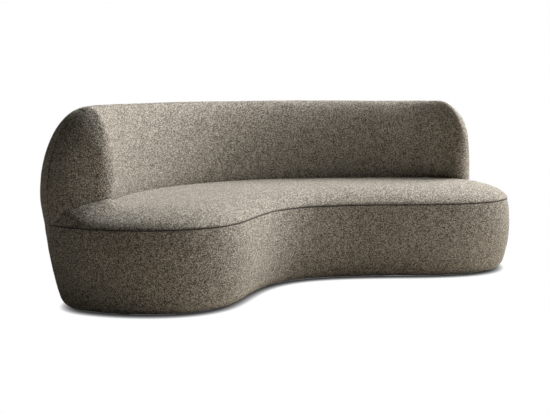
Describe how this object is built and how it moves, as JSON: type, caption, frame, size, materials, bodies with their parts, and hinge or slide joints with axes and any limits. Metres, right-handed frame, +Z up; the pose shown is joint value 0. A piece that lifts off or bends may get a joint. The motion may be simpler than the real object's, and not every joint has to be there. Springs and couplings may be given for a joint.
{
  "type": "curved sofa",
  "caption": "Free-standing curved sofa: kidney-shaped seat, rounded back that wraps from one side to the other, looped fabric over foam on a plywood frame.",
  "frame": {"origin": "on the floor under the middle of the sofa's overall box", "axes": "+X to the right as one faces the sofa's front, along its length; +Y to its back; +Z up"},
  "size_m": [2.2187, 1.178, 0.77],
  "materials": {
    "fabric": "greige looped boucle, matt",
    "foam": "open-cell foam",
    "wadding": "soft white wadding",
    "plywood": "raw birch plywood",
    "board": "bent hardboard",
    "pine": "planed pine",
    "webbing": "woven elastic webbing",
    "underside": "black non-woven cloth",
    "glide": "moulded black plastic"
  },
  "bodies": {
    "root": {"base_plate": "plywood", "seat_plate": "plywood", "base_cross_rail_1": "pine", "base_cross_rail_2": "pine", "base_cross_rail_3": "pine", "front_rib_1": "plywood", "front_rib_2": "plywood", "front_rib_3": "plywood", "front_rib_4": "plywood", "front_rib_5": "plywood", "front_rib_6": "plywood", "rear_rib_1": "plywood", "rear_rib_2": "plywood", "rear_rib_3": "plywood", "rear_rib_4": "plywood", "rear_rib_5": "plywood", "rear_rib_6": "plywood", "back_rib_1": "plywood", "back_rib_2": "plywood", "back_rib_3": "plywood", "back_rib_4": "plywood", "back_rib_5": "plywood", "back_rib_6": "plywood", "back_rib_7": "plywood", "back_rib_8": "plywood", "top_rail": "plywood", "webbing_strap_1": "webbing", "webbing_strap_2": "webbing", "webbing_strap_3": "webbing", "webbing_strap_4": "webbing", "webbing_strap_5": "webbing", "webbing_strap_6": "webbing", "webbing_strap_7": "webbing", "webbing_strap_8": "webbing", "front_board": "board", "outer_back_board": "board", "inner_back_board": "board", "seat_foam": "foam", "inside_back_foam": "foam", "band_padding": "wadding", "outside_back_padding": "wadding", "seat_cover": "fabric", "inside_back_cover": "fabric", "front_band_cover": "fabric", "outside_back_cover": "fabric", "dust_cover": "underside", "glide_1": "glide", "glide_2": "glide", "glide_3": "glide", "glide_4": "glide", "glide_5": "glide", "glide_6": "glide", "glide_7": "glide", "glide_8": "glide"}
  },
  "joints": []
}
